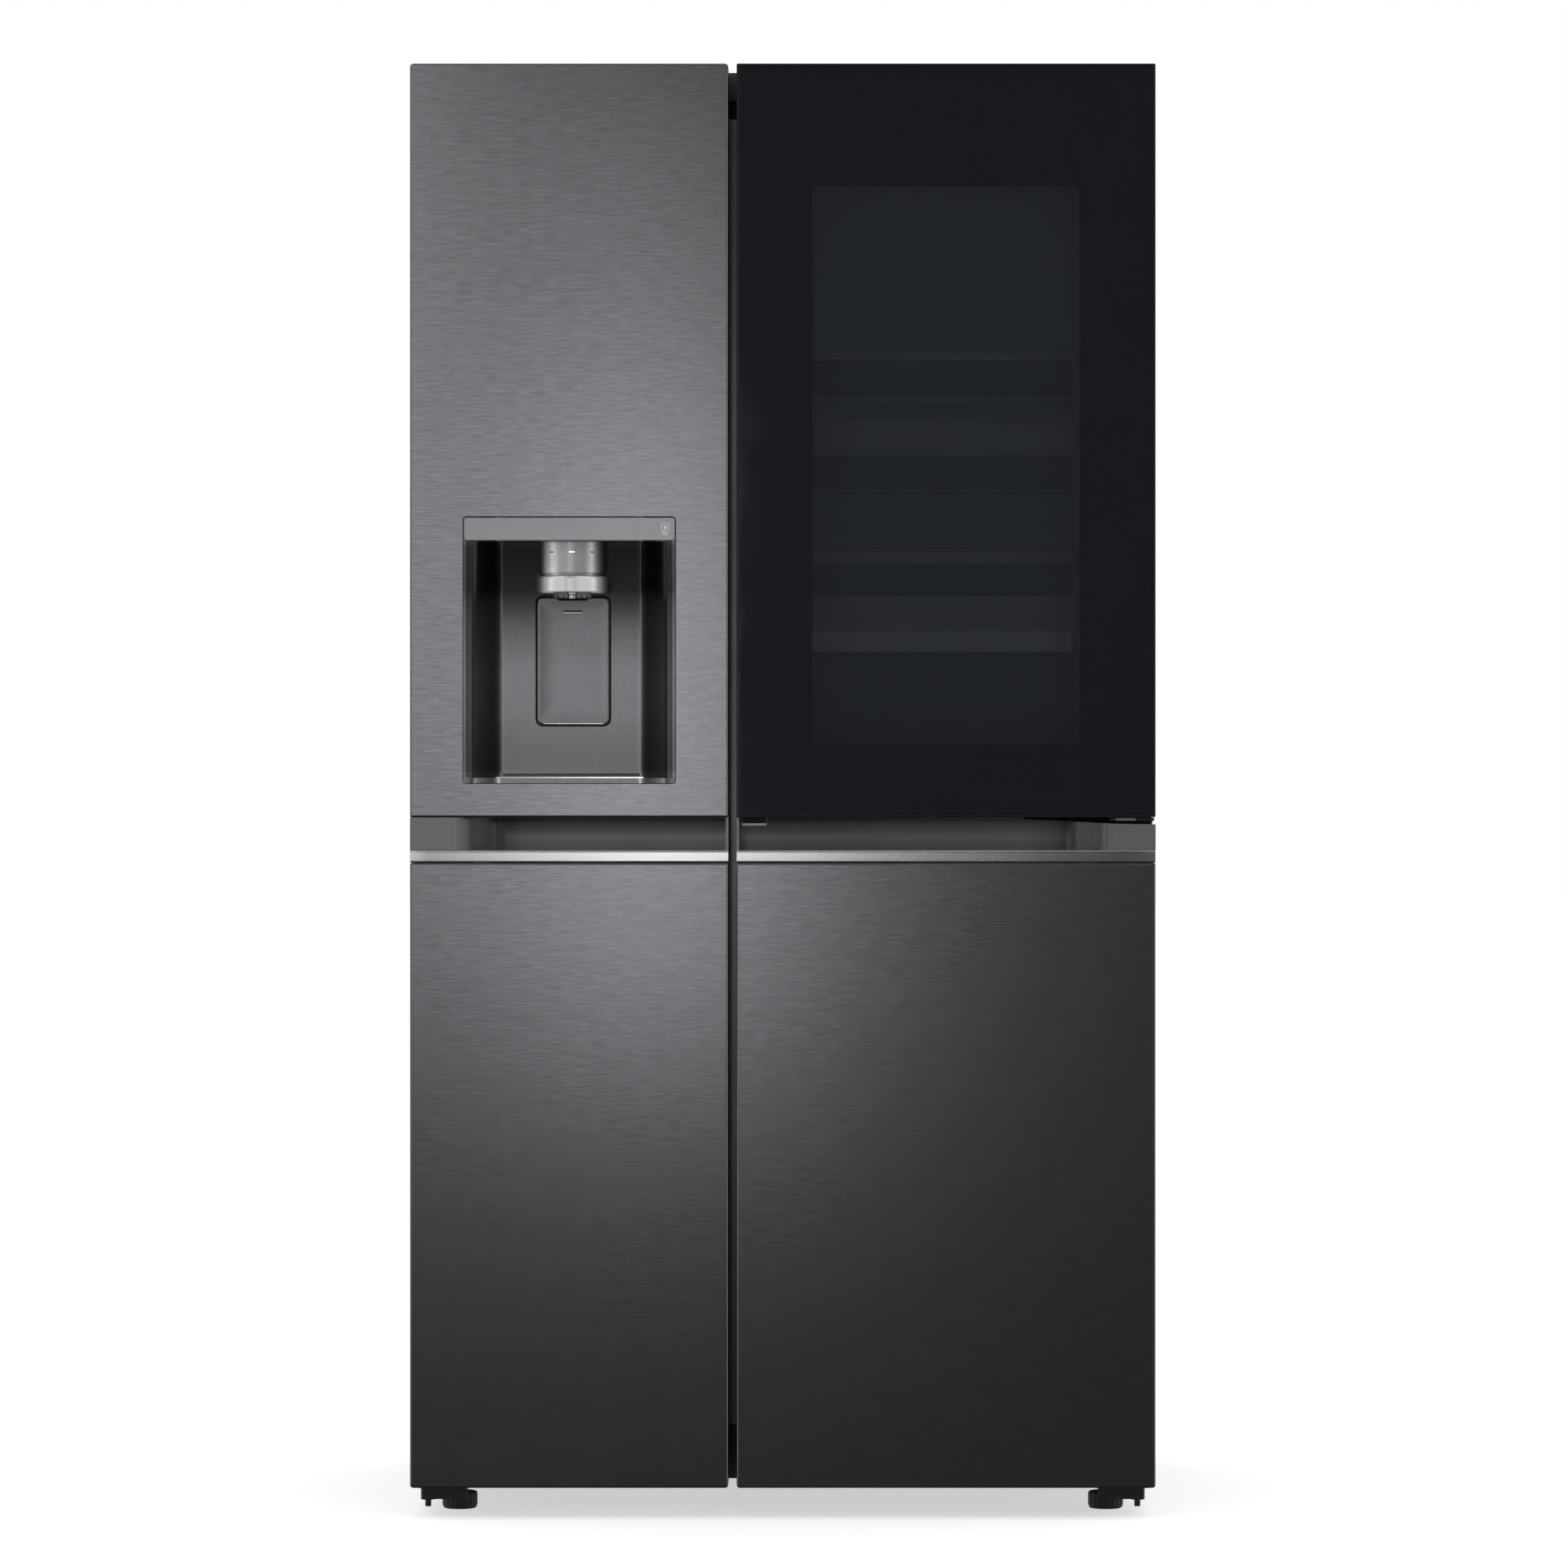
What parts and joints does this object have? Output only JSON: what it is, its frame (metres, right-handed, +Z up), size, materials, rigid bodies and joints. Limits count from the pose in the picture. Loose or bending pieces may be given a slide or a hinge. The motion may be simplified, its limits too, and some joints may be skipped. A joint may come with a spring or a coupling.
{
  "type": "side by side refrigerator",
  "caption": "Side by side refrigerator with freezer door and ice and water dispenser, fridge door with dark glass door-in-door, recessed handles, drawers and shelves.",
  "frame": {"origin": "on the floor, in the middle of the whole appliance's footprint", "axes": "+Z up, the doors face -Y, the freezer is on the -X side and the fridge on the +X side"},
  "size_m": [0.913, 0.735, 1.79],
  "materials": {
    "case_paint": "dark graphite powder coat",
    "graphite_brushed_steel": "dark graphite steel, fine horizontal brushing",
    "satin_trim": "satin metallic",
    "bright_metal": "bright metallic",
    "zinc_steel": "zinc plated",
    "galvanised_steel": "galvanised",
    "black_painted_metal": "black paint",
    "aluminium": "mill finish fins",
    "insulation_foam": "rigid polyurethane foam",
    "white_liner_plastic": "white vacuum-formed plastic",
    "grey_gasket_rubber": "matt grey magnetic gasket",
    "graphite_pocket_plastic": "metallic graphite moulding",
    "graphite_dispenser_plastic": "metallic graphite moulding",
    "grey_header_plastic": "satin grey moulding",
    "black_plastic": "fine textured black moulding",
    "dark_glass": "dark tinted tempered glass",
    "clear_glass": "clear tempered glass",
    "clear_bin_plastic": "clear moulded plastic"
  },
  "bodies": {
    "cabinet": {"outer_case": "case_paint", "back_panel": "galvanised_steel", "base_plate": "galvanised_steel", "insulation_core": "insulation_foam", "freezer_liner": "white_liner_plastic", "fridge_liner": "white_liner_plastic", "mullion_cover": "case_paint", "freezer_duct_cover": "white_liner_plastic", "evaporator": "aluminium", "compressor": "black_painted_metal", "condenser": "black_painted_metal", "machine_cover": "black_plastic", "hinge_upper_left": "zinc_steel", "hinge_upper_right": "zinc_steel", "hinge_cover_left": "black_plastic", "hinge_cover_right": "black_plastic", "hinge_lower_left": "black_painted_metal", "hinge_lower_right": "black_painted_metal", "freezer_shelf": "clear_glass", "fridge_shelf_upper": "clear_glass", "fridge_shelf_lower": "clear_glass"},
    "freezer_door": {"freezer_front_upper": "graphite_brushed_steel", "freezer_front_lower": "graphite_brushed_steel", "freezer_handle_pocket": "graphite_pocket_plastic", "freezer_handle_trim": "satin_trim", "freezer_door_core": "insulation_foam", "freezer_door_liner": "white_liner_plastic", "freezer_gasket": "grey_gasket_rubber", "dispenser_cavity": "graphite_dispenser_plastic", "dispenser_header": "grey_header_plastic", "dispenser_tower": "grey_header_plastic", "dispenser_ring": "bright_metal", "freezer_bin": "clear_bin_plastic", "ice_bank": "clear_bin_plastic"},
    "dispenser_paddle": {"dispenser_paddle": "graphite_dispenser_plastic"},
    "fridge_door": {"fridge_front_lower": "graphite_brushed_steel", "fridge_handle_pocket": "graphite_pocket_plastic", "fridge_handle_trim": "satin_trim", "fridge_door_core": "insulation_foam", "fridge_door_frame": "white_liner_plastic", "fridge_gasket": "grey_gasket_rubber", "door_bin_upper": "clear_bin_plastic", "door_bin_middle": "clear_bin_plastic", "door_bin_utility": "clear_bin_plastic", "fridge_bin_lower": "clear_bin_plastic", "glass_hinge_lower": "zinc_steel"},
    "glass_door": {"glass_frame": "black_plastic", "glass_front": "dark_glass", "glass_inner_pane": "clear_glass", "glass_gasket": "grey_gasket_rubber"},
    "release_lever": {"release_lever": "satin_trim"},
    "foot_left": {"foot_left": "black_plastic"},
    "foot_right": {"foot_right": "black_plastic"},
    "roller_left": {"roller_left": "black_plastic"},
    "roller_right": {"roller_right": "black_plastic"},
    "condenser_fan": {"condenser_fan": "black_plastic"},
    "freezer_drawer_upper": {"freezer_drawer_upper": "clear_bin_plastic"},
    "freezer_drawer_lower": {"freezer_drawer_lower": "clear_bin_plastic"},
    "crisper_drawer_upper": {"crisper_drawer_upper": "clear_bin_plastic"},
    "crisper_drawer_lower": {"crisper_drawer_lower": "clear_bin_plastic"}
  },
  "joints": [
    {"name": "freezer_door_hinge", "type": "hinge", "parent": "cabinet", "child": "freezer_door", "pos_m": [-0.438, -0.2925, 0], "axis": [0, 0, -1], "range_deg": [0, 120]},
    {"name": "fridge_door_hinge", "type": "hinge", "parent": "cabinet", "child": "fridge_door", "pos_m": [0.438, -0.2925, 0], "axis": [0, 0, 1], "range_deg": [0, 120]},
    {"name": "glass_door_hinge", "type": "hinge", "parent": "fridge_door", "child": "glass_door", "pos_m": [0.438, -0.346, 0.86], "axis": [0, 0, 1], "range_deg": [0, 110]},
    {"name": "dispenser_paddle_hinge", "type": "hinge", "parent": "freezer_door", "child": "dispenser_paddle", "pos_m": [-0.26125, -0.2865, 1.124], "axis": [1, 0, 0], "range_deg": [0, 3], "stiffness_Nm_per_rad": 4, "springref_deg": -2.86},
    {"name": "release_lever_hinge", "type": "hinge", "parent": "glass_door", "child": "release_lever", "pos_m": [-0.03475, -0.338, 0.868], "axis": [-1, 0, 0], "range_deg": [0, 8], "stiffness_Nm_per_rad": 0.8, "springref_deg": -8.59},
    {"name": "foot_left_height", "type": "slide", "parent": "cabinet", "child": "foot_left", "axis": [0, 0, -1], "range_m": [0, 0.012]},
    {"name": "foot_right_height", "type": "slide", "parent": "cabinet", "child": "foot_right", "axis": [0, 0, -1], "range_m": [0, 0.012]},
    {"name": "roller_left_spin", "type": "hinge", "parent": "cabinet", "child": "roller_left", "pos_m": [-0.36, 0.3, 0.018], "axis": [1, 0, 0], "continuous": true},
    {"name": "roller_right_spin", "type": "hinge", "parent": "cabinet", "child": "roller_right", "pos_m": [0.36, 0.3, 0.018], "axis": [1, 0, 0], "continuous": true},
    {"name": "condenser_fan_spin", "type": "hinge", "parent": "cabinet", "child": "condenser_fan", "pos_m": [0.06, 0.25, 0.146], "axis": [1, 0, 0], "continuous": true},
    {"name": "freezer_drawer_upper_slide", "type": "slide", "parent": "cabinet", "child": "freezer_drawer_upper", "axis": [0, -1, 0], "range_m": [0, 0.084]},
    {"name": "freezer_drawer_lower_slide", "type": "slide", "parent": "cabinet", "child": "freezer_drawer_lower", "axis": [0, -1, 0], "range_m": [0, 0.084]},
    {"name": "crisper_drawer_upper_slide", "type": "slide", "parent": "cabinet", "child": "crisper_drawer_upper", "axis": [0, -1, 0], "range_m": [0, 0.084]},
    {"name": "crisper_drawer_lower_slide", "type": "slide", "parent": "cabinet", "child": "crisper_drawer_lower", "axis": [0, -1, 0], "range_m": [0, 0.084]}
  ]
}
